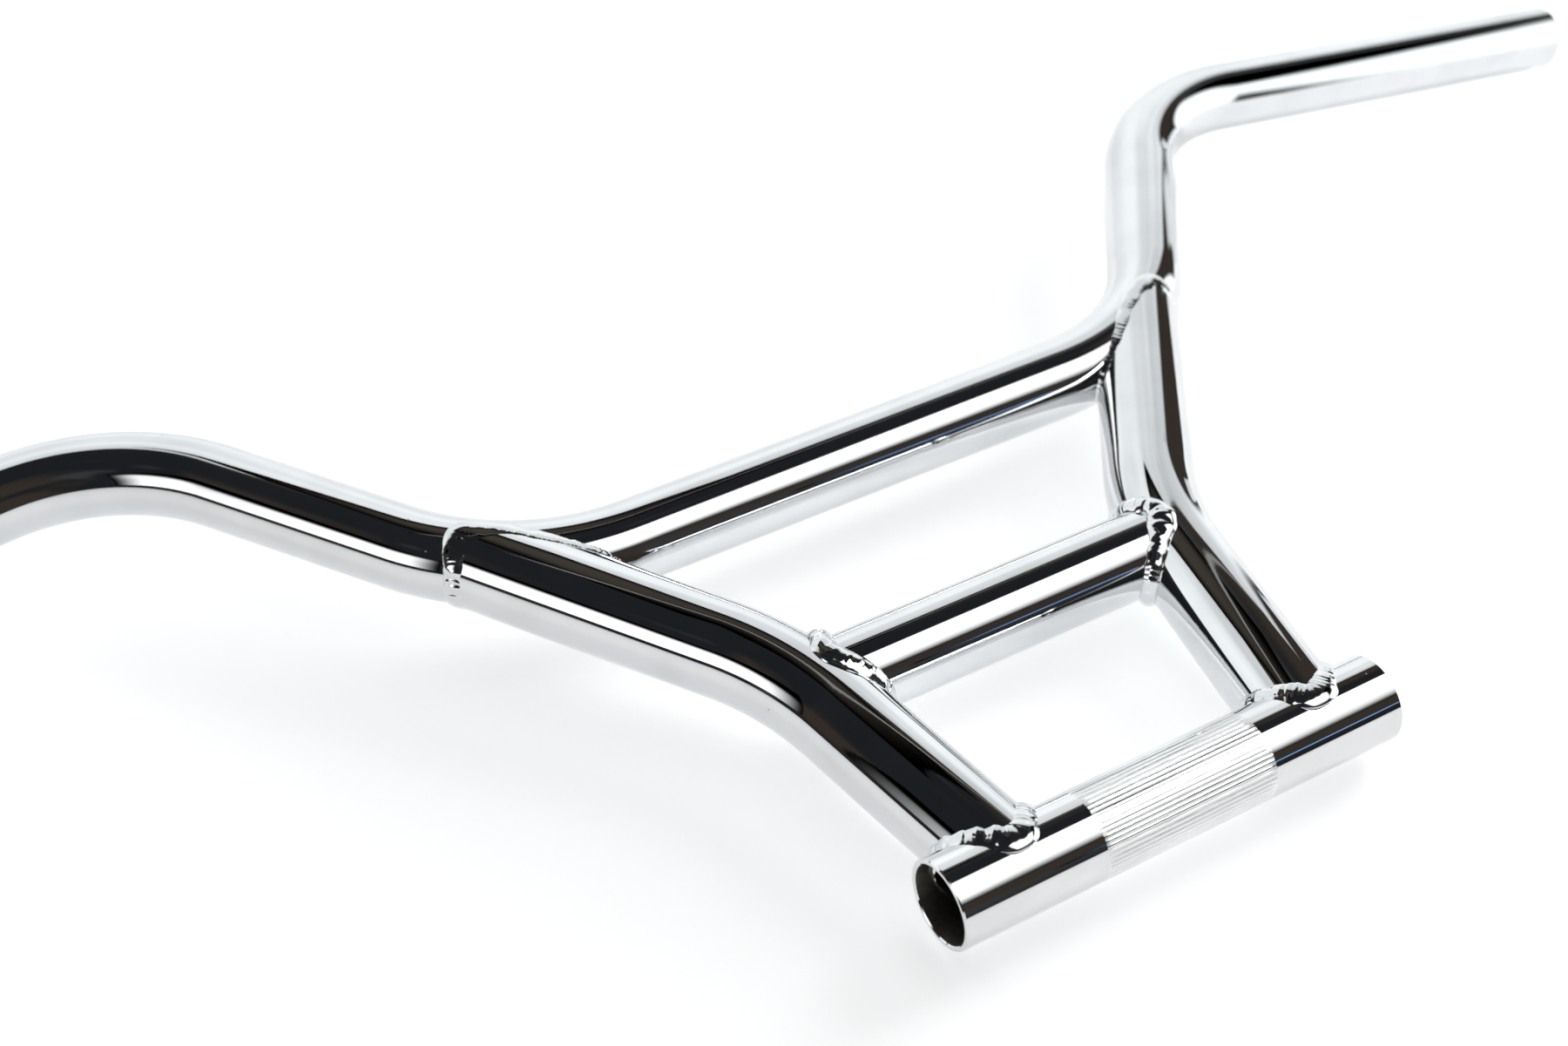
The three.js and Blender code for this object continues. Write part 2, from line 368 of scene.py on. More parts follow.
def brace_end(angle, radius, clearance):
    """Half length of the cross brace at each angle round it."""
    rim = UPWARD * BRACE_Y + radius * around(angle, UPWARD, FRONT)

    def reach(points, x):
        return RISER_RADIUS + clearance - RISER.nearest(points)[0]

    low = np.full(angle.shape, BRACE_SEARCH)
    high = np.full(angle.shape, RISER_CORNER[0])
    return crossing(lambda x: rim + ACROSS * x[:, None], reach, low, high)


# ---------------------------------------------------------------- tubes


def swept(path, s, angle, radius):
    """Surface points for a grid of distances s (rows, columns) and a row of angles."""
    point, _, side, front = path.at(s)
    return point + radius * (np.cos(angle)[None, :, None] * side + np.sin(angle)[None, :, None] * front)


def open_tube_grid(path, marks, radius, wall, sides):
    """A tube with square-cut open ends and chamfered rims. Returns the grid, the material slot of
    each row, and which rows belong to the rims."""
    angle = np.arange(sides) * TAU / sides
    c = RIM_CHAMFER
    first, last = marks[0], marks[-1]
    ends = np.array([c, c + RIM_LOOP])
    middle = marks[(marks > first + 1) & (marks < last - 1)]
    outer = np.concatenate([first + ends, middle, last - ends[::-1]])
    inner_radius = radius - wall
    profile = [(s, radius) for s in outer]
    profile += [(last, radius - c), (last, inner_radius + c)]
    profile += [(s, inner_radius) for s in outer[::-1]]
    profile += [(first, inner_radius + c), (first, radius - c)]
    rows = [swept(path, np.full((1, sides), s), angle, r)[0] for s, r in profile]
    n = len(outer)
    bore, rim = np.zeros(len(profile), int), np.zeros(len(profile), bool)
    bore[n + 2 : 2 * n + 1] = BORE
    rim[[n - 1, n, n + 1, 2 * n + 1, 2 * n + 2, 2 * n + 3]] = True
    return np.array(rows), bore, rim


def build_main_bar(materials):
    radius, wall = BAR_RADIUS - SKIN_INSET, BAR_WALL - SKIN_INSET
    grid, bore, rim = open_tube_grid(MAIN, MAIN.stations(), radius, wall, TUBE_SIDES)
    return closed_skin("bent_bar", grid, materials, bore, rim)


def spread(low, high, rows):
    """rows distances between two values given for each angle."""
    share = np.linspace(0, 1, rows)[:, None]
    return low[None] * (1 - share) + high[None] * share


def with_rim_loops(s):
    """The same rows, with one more just inside each end so that shading stays true up to the rim."""
    return np.concatenate([s[:1], s[:1] + RIM_LOOP, s[1:-1], s[-1:] - RIM_LOOP, s[-1:]])


def two_skins(rows):
    """Bore rows and rim rows of a tube made as an outside and an inside of the same row count."""
    bore, rim = np.zeros(2 * rows, int), np.zeros(2 * rows, bool)
    bore[rows : 2 * rows - 1] = BORE
    rim[[rows - 1, 2 * rows - 1]] = True
    return bore, rim


def build_riser(side, name, materials):
    angle = np.arange(TUBE_SIDES) * TAU / TUBE_SIDES
    bend = RISER.legs[1]
    bend_start = bend["start"]
    bend_end = bend_start + bend["length"]
    corner_at = bend_end - np.linalg.norm(RISER.at(np.array([bend_end]))[0][0] - CORNER)
    foot = riser_foot(angle, RISER_RADIUS)
    mouth = corner_at + riser_mouth(angle, RISER_RADIUS)
    start, end = np.full(angle.shape, bend_start), np.full(angle.shape, bend_end)
    below, bent, above = RISER_RINGS
    low = spread(foot, start, below)[:-1]
    middle = spread(start, end, bent)[:-1]
    s = with_rim_loops(np.concatenate([low, middle, spread(end, mouth, above)]))
    outer = swept(RISER, s, angle, RISER_RADIUS)
    inner = swept(RISER, s[::-1], angle, RISER_RADIUS - RISER_WALL)
    bore, rim = two_skins(len(s))
    return closed_skin(name, mirrored(np.concatenate([outer, inner]), side), materials, bore, rim)


def build_brace(materials):
    angle = np.arange(TUBE_SIDES) * TAU / TUBE_SIDES

    def surface(radius, share):
        half = brace_end(angle, radius, BRACE_CLEARANCE)
        ring = np.stack([np.zeros_like(angle), np.cos(angle), np.sin(angle)], -1) * radius
        ring = ring + UPWARD * BRACE_Y
        return np.stack([ring + ACROSS * (half * k)[:, None] for k in share])

    share = with_rim_loops(np.linspace(-1, 1, BRACE_RINGS) * RISER_CORNER[0]) / RISER_CORNER[0]
    grid = np.concatenate([surface(BAR_RADIUS, share), surface(BAR_RADIUS - BAR_WALL, share[::-1])])
    bore, rim = two_skins(len(share))
    return closed_skin("brace_tube", grid, materials, bore, rim)


def knurl_profile():
    """Angles and relative depths round the knurl: for each tooth a narrow land, then a rounded groove."""
    shares = np.array([share for share, _ in TOOTH_PROFILE])
    depths = np.array([depth for _, depth in TOOTH_PROFILE])
    tooth = np.repeat(np.arange(KNURL_TEETH), len(shares))
    angle = (tooth + np.tile(shares, KNURL_TEETH)) * TAU / KNURL_TEETH
    return angle, np.tile(depths, KNURL_TEETH), tooth


def knurl_cut(groove, tooth):
    """A function from x to the depth of cut round the tube. Each groove has its own uneven ends."""
    rng = np.random.default_rng(KNURL_SEED)
    ends = rng.uniform(*RUN_OUT_PLACE, (2, KNURL_TEETH))
    beat = rng.uniform(0.15, 0.6, KNURL_TEETH)
    start = rng.uniform(0, TAU, KNURL_TEETH)

    def depth(x):
        inside = KNURL_LENGTH / 2 + ends[int(x > 0)][tooth] - abs(x)
        scar = 0.96 + 0.06 * np.sin(x * beat[tooth] + start[tooth])
        return KNURL_DEPTH * groove * np.clip(inside / RUN_OUT, 0, 1) * scar

    return depth


def clamp_stations():
    """Distances along the clamp tube to put rings at, close together where the grooves run out."""
    end, knurl = CLAMP_LENGTH / 2 - RIM_CHAMFER, KNURL_LENGTH / 2
    plain = np.append(end, np.linspace(end - RIM_LOOP, knurl + 1.4, 9))
    run_out = np.linspace(knurl + 0.9, knurl - 2.1, 16)
    half = np.concatenate([plain, run_out, np.linspace(knurl - 3.5, 1.5, 14)])
    return np.concatenate([-half, half[::-1]])


def build_clamp(materials):
    angle, groove, tooth = knurl_profile()
    depth = knurl_cut(groove, tooth)
    xs = clamp_stations()
    end, knurl, c = CLAMP_LENGTH / 2, KNURL_LENGTH / 2, RIM_CHAMFER
    outer, inner = BAR_RADIUS - CLAMP_INSET, BAR_RADIUS - BAR_WALL

    def ring(x, radius):
        return np.stack([np.full(angle.shape, x), radius * np.cos(angle), radius * np.sin(angle)], -1)

    rows = [ring(x, outer - depth(x)) for x in xs]
    rows += [ring(end, outer - c), ring(end, inner + c)]
    rows += [ring(x, inner) for x in np.linspace(end - c, -end + c, BORE_RINGS)]
    rows += [ring(-end, inner + c), ring(-end, outer - c)]

    n = len(xs)
    m = n + BORE_RINGS
    which = np.full((len(rows), len(angle)), PLATE)
    which[n + 2 : m + 1] = BORE
    flanks = np.flatnonzero((groove > 0) | (np.roll(groove, -1) > 0))
    farther = np.maximum(np.abs(xs[:-1]), np.abs(xs[1:]))
    which[np.ix_(np.flatnonzero(farther < knurl + 0.3), flanks)] = GROOVE
    sharp = np.zeros(len(rows), bool)
    sharp[: n - 1] = farther < knurl + 1
    sharp[[n - 1, n, n + 1, m + 1, m + 2, m + 3]] = True
    return closed_skin("knurled_clamp_tube", np.array(rows), materials, which, sharp)


# ---------------------------------------------------------------- weld beads


def smoothed(values, spacing, reach):
    """A closed run of values, averaged over about reach millimetres."""
    half = max(1, int(round(2.5 * reach / spacing)))
    offsets = np.arange(-half, half + 1)
    weight = np.exp(-0.5 * (offsets * spacing / reach) ** 2)
    total = sum(w * np.roll(values, k, axis=0) for k, w in zip(offsets, weight))
    return total / weight.sum()


def evenly(line, *others):
    """A closed line and the values along it, resampled to even steps."""
    step = np.linalg.norm(np.roll(line, -1, axis=0) - line, axis=1)
    marks = np.concatenate([[0], np.cumsum(step)])
    count = int(round(marks[-1] / WELD_STEP))
    want = np.arange(count) * marks[-1] / count

    def resample(values):
        closed = np.concatenate([values, values[:1]])
        if closed.ndim == 1:
            return np.interp(want, marks, closed)
        return np.stack([np.interp(want, marks, closed[:, k]) for k in range(closed.shape[1])], -1)

    return (want, marks[-1], *[resample(v) for v in (line, *others)])


def wander(rng, share, strength, waves):
    """Smooth seeded drift round a closed run, for shares from 0 to 1."""
    total = np.zeros_like(share)
    for k in waves:
        total += rng.normal() * np.sin(TAU * (k * share + rng.uniform())) / math.sqrt(len(waves))
    return strength * total


def ripple_pattern(rng, share, pitch, q):
    """Height of the overlapping, bowed ripples, along the bead and across it (q from -1 to 1)."""
    phase = np.cumsum(WELD_STEP / pitch)
    count = max(1, round(phase[-1]))
    phase = phase * count / phase[-1] + wander(rng, share, 0.22, (7, 11, 17, 26))
    bowed = phase[:, None] + RIPPLE_BOW * (1 - q[None] ** 2) + RIPPLE_LEAN * q[None]
    index = np.floor(bowed).astype(int) % count
    x = bowed - np.floor(bowed)
    size = rng.uniform(0.35, 1.0, count)[index]
    scallop = np.sin(np.pi * x**0.55) ** 0.8
    return size * scallop - 0.5


def lump_pattern(rng, share, length, q):
    """Slow lumps along the bead, with a share of them leaning to one side."""
    lump_rate = length / LUMP_LENGTH
    waves = tuple(max(1, round(lump_rate * k)) for k in (0.6, 0.85, 1.15, 1.5))
    even = wander(rng, share, 1.0, waves)
    leaning = wander(rng, share, 0.8, waves)
    return even[:, None] + leaning[:, None] * q[None]


def build_bead(name, side, line, normal, angle, shape, seed, material):
    """A weld bead along a closed line: a flattened crown with ripples and lumps. shape(angle) gives
    half width, height, ripple height, ripple pitch and lump height at each place."""
    rng = np.random.default_rng(seed)
    spacing = np.linalg.norm(line[1] - line[0])
    line = smoothed(line, spacing, 0.9)
    normal = unit(smoothed(normal, spacing, 1.6))
    turn = np.stack([np.cos(angle), np.sin(angle)], -1)
    s, length, line, normal, turn = evenly(line, normal, turn)
    angle = np.arctan2(turn[:, 1], turn[:, 0])
    half_width, height, ripple, pitch, lump = (smoothed(v, WELD_STEP, 1.5) for v in shape(angle))
    share = s / length
    half_width = half_width * (1 + wander(rng, share, 0.07, (3, 5, 8, 13, 21)))
    height = height * (1 + wander(rng, share, 0.06, (2, 5, 9, 14, 23)))
    along = unit(np.roll(line, -1, axis=0) - np.roll(line, 1, axis=0))
    lateral = unit(np.cross(along, normal))
    normal = np.cross(lateral, along)

    round_bead = np.arange(WELD_SIDES) * TAU / WELD_SIDES
    q, rise = np.cos(round_bead), np.sin(round_bead)
    ripples = ripple_pattern(rng, share, pitch, q)
    lumps = lump_pattern(rng, share, length, q)
    crown = np.clip(rise, 0, 1)[None] ** 0.8
    lift = (ripple[:, None] * ripples + lump[:, None] * lumps) * crown
    dome = np.sign(rise) * np.abs(rise) ** 1.25
    across = (half_width[:, None] * q[None])[..., None] * lateral[:, None]
    up = ((height[:, None] + lift) * dome[None])[..., None] * normal[:, None]
    grid = line[:, None] + across + up
    return closed_skin(name, mirrored(grid, side), [material])


def bump_at(angle, centre, spread_deg):
    """1 at the centre angle (degrees), falling smoothly to about 0 by three times the spread."""
    away = (np.degrees(angle) - centre + 180) % 360 - 180
    return np.exp(-0.5 * (away / spread_deg) ** 2)


SEAM_ANGLES = np.arange(SEAM_STEPS) * TAU / SEAM_STEPS


def main_weld(side, name, seed, material):
    rim = RISER_RADIUS - MOUTH_BITE
    s = riser_mouth(SEAM_ANGLES, rim)
    radial = around(SEAM_ANGLES, INWARD, FRONT)
    line = CORNER + rim * radial + UPPER_LEG * (s[:, None] + MOUTH_LIFT)
    _, foot = MAIN.nearest(line, *RIGHT_ARM)
    normal = unit(radial + unit(line - foot))

    def shape(angle):
        crotch = bump_at(angle, 5, 30)
        outside = bump_at(angle, 172, 28) * (1.0 if side < 0 else 0.5)
        ripples = bump_at(angle, 44, 16)
        width = 4.0 + 0.4 * crotch + 0.3 * ripples
        height = 1.1 + 1.2 * crotch + 0.5 * outside
        ripple = 0.015 + 0.24 * crotch + 0.42 * outside + 0.16 * ripples
        pitch = 1.3 + 1.4 * crotch + 0.9 * outside
        lump = 0.02 + 0.18 * crotch + 0.3 * outside
        return width, height, ripple, pitch, lump

    return build_bead(name, side, line, normal, SEAM_ANGLES, shape, seed, material)


def brace_weld(side, name, seed, material):
    x = brace_end(SEAM_ANGLES, BAR_RADIUS, 0.0)
    radial = around(SEAM_ANGLES, UPWARD, FRONT)
    line = UPWARD * BRACE_Y + BAR_RADIUS * radial + ACROSS * x[:, None]
    _, foot = RISER.nearest(line)
    normal = unit(radial + unit(line - foot))

    def shape(angle):
        front = bump_at(angle, 75, 50)
        width = 4.1 + 0.2 * front
        height = 2.9 + 0.1 * front
        ripple = 0.14 + 0.22 * front
        pitch = 1.5 + 2.5 * front
        lump = 0.08 + 0.08 * front
        return width, height, ripple, pitch, lump

    return build_bead(name, side, line, normal, SEAM_ANGLES, shape, seed, material)


def foot_weld(side, name, seed, material):
    rim = RISER_RADIUS - FOOT_BITE
    s = riser_foot(SEAM_ANGLES, rim)
    _, along, lateral, front = (v[0] for v in RISER.at(np.array([0.0])))
    radial = around(SEAM_ANGLES, lateral, front)
    line = ACROSS * FOOT_X + rim * radial + along * s[:, None]
    off_clamp = line - ACROSS * line[:, :1]
    normal = unit(radial + unit(off_clamp))

    def shape(angle):
        flanks = bump_at(angle, 0, 40) + bump_at(angle, 180, 40)
        width = 4.8 + 0.2 * flanks
        height = 1.8 + 0.7 * flanks
        ripple = 0.13 + 0.06 * flanks
        pitch = 1.35 + 0.8 * flanks
        lump = 0.05 + 0.1 * flanks
        return width, height, ripple, pitch, lump

    return build_bead(name, side, line, normal, SEAM_ANGLES, shape, seed, material)


# ---------------------------------------------------------------- materials


# Texture scales, in features to the metre
SMEAR_SCALE = 42
GRAIN_SCALE = 900
WAVE_SCALE = 38
MARK_SCALE = 620
DUST_CELLS = 210

# Height of the fine marks, as a share of the slow waviness
MARK_SHARE = 0.045

# Plates
TUBE_PLATE = (0.74, 0.75, 0.76, 1)
KNURL_PLATE = (0.78, 0.785, 0.79, 1)
GROOVE_PLATE = (0.9, 0.905, 0.91, 1)
DUST_GREY = (0.55, 0.56, 0.57, 1)

# Bare steel in the bores
BORE_DARK = (0.022, 0.019, 0.016, 1)
BORE_PALE = (0.085, 0.075, 0.064, 1)
DRAWN_HEIGHT = 0.00004

# The table: its own glow, and what plain view adds (from and to distance, then near and far glow)
TABLE_COOL = (0.83, 0.84, 0.85, 1)
TABLE_WARM = (0.86, 0.87, 0.875, 1)
TABLE_LIGHT = (0.985, 0.995, 1.0, 1)
TABLE_GLOW = 0.57
TABLE_FAR_GLOW = (0.12, 0.6, 0.02, 0.68)


def node_material(name):
    material = bpy.data.materials.new(name)
    material.use_nodes = True
    tree = material.node_tree
    return material, tree, tree.nodes["Principled BSDF"]


def noise(tree, coordinates, scale, detail=2.0, stretch=None):
    """A noise texture's factor socket, in object metres, optionally stretched."""
    source = coordinates
    if stretch is not None:
        mapping = tree.nodes.new("ShaderNodeMapping")
        mapping.inputs["Scale"].default_value = stretch
        tree.links.new(coordinates, mapping.inputs["Vector"])
        source = mapping.outputs["Vector"]
    texture = tree.nodes.new("ShaderNodeTexNoise")
    texture.inputs["Scale"].default_value = scale
    texture.inputs["Detail"].default_value = detail
    tree.links.new(source, texture.inputs["Vector"])
    return texture.outputs["Fac"]


def bumped(tree, height, distance, before=None):
    bump = tree.nodes.new("ShaderNodeBump")
    bump.inputs["Strength"].default_value = 1.0
    bump.inputs["Distance"].default_value = distance
    tree.links.new(height, bump.inputs["Height"])
    if before is not None:
        tree.links.new(before, bump.inputs["Normal"])
    return bump.outputs["Normal"]


def ranged(tree, value, low, high, to_low, to_high):
    node = tree.nodes.new("ShaderNodeMapRange")
    node.interpolation_type = "SMOOTHSTEP"
    for socket, number in zip(("From Min", "From Max", "To Min", "To Max"), (low, high, to_low, to_high)):
        node.inputs[socket].default_value = number
    tree.links.new(value, node.inputs["Value"])
    return node.outputs["Result"]


def combine(tree, operation, a, b):
    node = tree.nodes.new("ShaderNodeMath")
    node.operation = operation
    for socket, value in zip(node.inputs, (a, b)):
        if isinstance(value, (int, float)):
            socket.default_value = value
        else:
            tree.links.new(value, socket)
    return node.outputs["Value"]


def blended(tree, factor, one, other):
    """A colour between two, each a socket or four numbers."""
    node = tree.nodes.new("ShaderNodeMix")
    node.data_type = "RGBA"
    tree.links.new(factor, node.inputs["Factor"])
    for socket, value in ((node.inputs["A"], one), (node.inputs["B"], other)):
        if isinstance(value, tuple):
            socket.default_value = value
        else:
            tree.links.new(value, socket)
    return node.outputs["Result"]


def object_space(tree):
    return tree.nodes.new("ShaderNodeTexCoord").outputs["Object"]


def dust_specks(tree, coordinates):
    """1 on a few small round specks and 0 elsewhere."""
    cells = tree.nodes.new("ShaderNodeTexVoronoi")
    cells.inputs["Scale"].default_value = DUST_CELLS
    tree.links.new(coordinates, cells.inputs["Vector"])
    split = tree.nodes.new("ShaderNodeSeparateColor")
    tree.links.new(cells.outputs["Color"], split.inputs["Color"])
    rare = ranged(tree, split.outputs["Red"], 0.965, 0.97, 0, 1)
    near = ranged(tree, cells.outputs["Distance"], 0.05, 0.09, 1, 0)
    return combine(tree, "MULTIPLY", rare, near)


def chrome(name, tint, wave, haze):
    """Bright chrome plate: slow waviness, fine polishing marks, faint smears and rare dust. wave is
    the height of the waviness in metres, and haze the roughness of the cleanest places."""
    material, tree, shader = node_material(name)
    coordinates = object_space(tree)
    shader.inputs["Metallic"].default_value = 1.0
    smears = noise(tree, coordinates, SMEAR_SCALE, 4.0)
    deep = tuple(0.93 * c for c in tint[:3]) + (1.0,)
    plate = blended(tree, ranged(tree, smears, 0.35, 0.7, 0, 1), tint, deep)
    dust = dust_specks(tree, coordinates)
    tree.links.new(blended(tree, dust, plate, DUST_GREY), shader.inputs["Base Color"])

    fine = noise(tree, coordinates, GRAIN_SCALE, 3.0)
    rough = ranged(tree, smears, 0.3, 0.75, haze, haze * 1.8)
    rough = combine(tree, "ADD", rough, ranged(tree, fine, 0.45, 0.8, 0, haze * 0.6))
    rough = combine(tree, "ADD", rough, combine(tree, "MULTIPLY", dust, 0.6))
    tree.links.new(rough, shader.inputs["Roughness"])

    skin = bumped(tree, noise(tree, coordinates, WAVE_SCALE, 1.0), wave)
    skin = bumped(tree, noise(tree, coordinates, MARK_SCALE, 2.0), wave * MARK_SHARE, skin)
    tree.links.new(skin, shader.inputs["Normal"])
    return material


def dark_bore(name):
    """The unplated inside of a tube: dark, slightly warm steel with faint drawing marks."""
    material, tree, shader = node_material(name)
    coordinates = object_space(tree)
    stain = ranged(tree, noise(tree, coordinates, 120, 5.0), 0.35, 0.75, 0, 1)
    drawn = noise(tree, coordinates, 260, 3.0, (0.08, 1.0, 1.0))
    tree.links.new(blended(tree, stain, BORE_DARK, BORE_PALE), shader.inputs["Base Color"])
    shader.inputs["Metallic"].default_value = 0.6
    tree.links.new(ranged(tree, drawn, 0.3, 0.7, 0.38, 0.62), shader.inputs["Roughness"])
    tree.links.new(bumped(tree, drawn, DRAWN_HEIGHT), shader.inputs["Normal"])
    return material


def distance_from_middle(tree, vector):
    length = tree.nodes.new("ShaderNodeVectorMath")
    length.operation = "LENGTH"
    tree.links.new(vector, length.inputs[0])
    return length.outputs["Value"]


def table_white():
    """Smooth white laminate with a little light of its own, and more of it far away in plain view."""
    material, tree, shader = node_material("table_white")
    coordinates = object_space(tree)
    mottle = noise(tree, coordinates, 9, 3.0)
    tree.links.new(blended(tree, mottle, TABLE_COOL, TABLE_WARM), shader.inputs["Base Color"])
    shader.inputs["Roughness"].default_value = 0.8
    shader.inputs["Specular IOR Level"].default_value = 0.1
    tree.links.new(bumped(tree, noise(tree, coordinates, 500, 2.0), 0.00001), shader.inputs["Normal"])
    far_glow = ranged(tree, distance_from_middle(tree, coordinates), *TABLE_FAR_GLOW)
    in_view = tree.nodes.new("ShaderNodeLightPath").outputs["Is Camera Ray"]
    glow = combine(tree, "ADD", TABLE_GLOW, combine(tree, "MULTIPLY", far_glow, in_view))
    shader.inputs["Emission Color"].default_value = TABLE_LIGHT
    tree.links.new(glow, shader.inputs["Emission Strength"])
    return material


# ---------------------------------------------------------------- studio


QUARTER = math.pi / 2
FACING_FRONT = (QUARTER, 0, 0)
FACING_BACK = (QUARTER, 0, math.pi)
FACING_LEFT = (QUARTER, 0, -QUARTER)
FACING_RIGHT = (QUARTER, 0, QUARTER)
FACING_DOWN = (math.pi, 0, 0.2)

PANELS = (
    # White sweep behind the bar, its top edge about a metre up, and its low end on the right
    dict(
        name="sweep",
        centre=(0.31, 0.6, 0.5),
        facing=FACING_FRONT,
        size=(2.56, 1.08),
        strength=1.22,
        colour=(0.96, 0.99, 1.0),
        fades=(0.02, 0.05, 0, 0.02),
        dim=0.3,
    ),
    dict(
        name="sweep_end",
        centre=(1.62, 0.605, 0.18),
        facing=FACING_FRONT,
        size=(0.5, 0.44),
        strength=1.05,
        colour=(0.96, 0.99, 1.0),
        fades=(0, 0.1, 0, 0.16),
    ),
    # Softbox overhead, in front of the crossbar, dimming towards its front edge
    dict(
        name="softbox_top",
        centre=(0.38, -0.59, 0.6),
        facing=FACING_DOWN,
        size=(1.04, 0.92),
        strength=1.75,
        colour=(1, 1, 1),
        fades=(0.03, 0.1, 0, 0.58),
        lamp=14.0,
    ),
    # Softboxes to the right and left
    dict(
        name="softbox_right",
        centre=(1.0, -0.29, 0.43),
        facing=FACING_LEFT,
        size=(0.98, 0.98),
        strength=1.7,
        colour=(0.95, 1, 1),
        fades=(0.04, 0.2, 0, 0.13),
        slant=0.46,
    ),
    dict(
        name="softbox_left",
        centre=(-0.9, -0.15, 0.38),
        facing=FACING_RIGHT,
        size=(0.68, 0.52),
        strength=1.75,
        colour=(1, 1, 1),
        fades=(0.4, 0.34, 0.03, 0.22),
        slant=-0.25,
    ),
    # Daylight low down, far in front
    dict(
        name="window_strip",
        centre=(1.05, -1.72, 0.42),
        facing=FACING_BACK,
        size=(0.6, 0.11),
        strength=1.0,
        colour=(0.28, 0.53, 1.0),
        fades=(0.3, 0.3, 0.4, 0.4),
    ),
    # A faint warm glow and a rail on the ceiling
    dict(
        name="ceiling_glow",
        centre=(0.02, 0.33, 0.62),
        facing=FACING_DOWN,
        size=(0.42, 0.36),
        strength=0.065,
        colour=(1, 0.86, 0.74),
        fades=(0.35, 0.35, 0.35, 0.35),
    ),
    dict(
        name="ceiling_rail",
        centre=(0.3, 0.25, 0.61),
        facing=(math.pi, 0, 0.12),
        size=(1.1, 0.012),
        strength=0.35,
        colour=(1, 0.98, 0.95),
        fades=(0.1, 0.1, 0.2, 0.2),
    ),
)

# The middle of a panel's lamp and its half size, as shares of the panel's half size
LAMP_MIDDLE = -0.577
LAMP_REACH = (0.8, 0.385)

# The narrowest edge fade, as a share of the panel
SHARPEST_FADE = 0.004

# What lights the table: mostly from the right, so that the crossbar's shadow lies beneath it
TABLE_LIGHTS = (
    dict(name="light_right", centre=(1.1, 0.12, 0.75), target=(0, 0.05, 0), size=0.55, watts=6.6),
    dict(name="light_back", centre=(0.1, 0.75, 0.9), target=(0, 0, 0), size=0.9, watts=1.3),
    dict(name="light_top", centre=(0.05, 0, 1.4), target=(0, 0, 0), size=1.4, watts=6),
)

# The dark room that the chrome reflects between the panels
ROOM_BLACK = (0.016, 0.018, 0.021, 1)
ROOM_WARM = (0.046, 0.037, 0.03, 1)
ROOM_GREY = (0.05, 0.053, 0.057, 1)

TABLE_REACH = 6.0
TABLE_DROP = 0.0002


def flat_sheet(name, half_width, half_height, material):
    signs = ((-1, -1), (1, -1), (1, 1), (-1, 1))
    mesh = bpy.data.meshes.new(name)
    mesh.from_pydata([(a * half_width, b * half_height, 0) for a, b in signs], [], [(0, 1, 2, 3)])
    mesh.materials.append(material)
    return scene_object(name, mesh)


def panel_shade(tree, coordinates, size, fades, dim, slant):
    """How bright each place on a panel is: 1 well inside it, 0 at its faded edges."""
    split = tree.nodes.new("ShaderNodeSeparateXYZ")
    tree.links.new(coordinates, split.inputs["Vector"])
    x, y = split.outputs["X"], split.outputs["Y"]
    w, h = size[0] / 2, size[1] / 2
    left, right, bottom, top = (max(fade, SHARPEST_FADE) for fade in fades)
    shade = ranged(tree, x, -w, -w + left * size[0], 0, 1)
    shade = combine(tree, "MULTIPLY", shade, ranged(tree, x, w - right * size[0], w, 1, 0))
    shade = combine(tree, "MULTIPLY", shade, ranged(tree, y, -h, -h + bottom * size[1], 0, 1))
    rise = combine(tree, "SUBTRACT", y, combine(tree, "MULTIPLY", x, slant))
    edge = h - abs(slant) * w
    shade = combine(tree, "MULTIPLY", shade, ranged(tree, rise, edge - top * size[1], edge, 1, 0))
    shade = combine(tree, "MULTIPLY", shade, ranged(tree, y, -0.2 * h, h, 1, 1 - dim))
    uneven = noise(tree, coordinates, 2.4, 1.0)
    return combine(tree, "MULTIPLY", shade, ranged(tree, uneven, 0.32, 0.68, 0.84, 1.04))


def lamp_glow(tree, coordinates, size, lamp):
    """A soft oval of light behind the panel's lower half."""
    w, h = size[0] / 2, size[1] / 2
    mapping = tree.nodes.new("ShaderNodeMapping")
    mapping.inputs["Location"].default_value = (0, -LAMP_MIDDLE / LAMP_REACH[1], 0)
    mapping.inputs["Scale"].default_value = (1 / (LAMP_REACH[0] * w), 1 / (LAMP_REACH[1] * h), 0)
    tree.links.new(coordinates, mapping.inputs["Vector"])
    return ranged(tree, distance_from_middle(tree, mapping.outputs["Vector"]), 0, 1, lamp, 0)


def one_sided_glow(tree, colour, strength):
    """Light from the front of a sheet, and nothing at all from its back."""
    out = tree.nodes.new("ShaderNodeOutputMaterial")
    glow = tree.nodes.new("ShaderNodeEmission")
    glow.inputs["Color"].default_value = (*colour, 1)
    tree.links.new(strength, glow.inputs["Strength"])
    backfacing = tree.nodes.new("ShaderNodeNewGeometry").outputs["Backfacing"]
    mix = tree.nodes.new("ShaderNodeMixShader")
    clear = tree.nodes.new("ShaderNodeBsdfTransparent")
    tree.links.new(backfacing, mix.inputs["Fac"])
    tree.links.new(glow.outputs["Emission"], mix.inputs[1])
    tree.links.new(clear.outputs["BSDF"], mix.inputs[2])
    tree.links.new(mix.outputs["Shader"], out.inputs["Surface"])


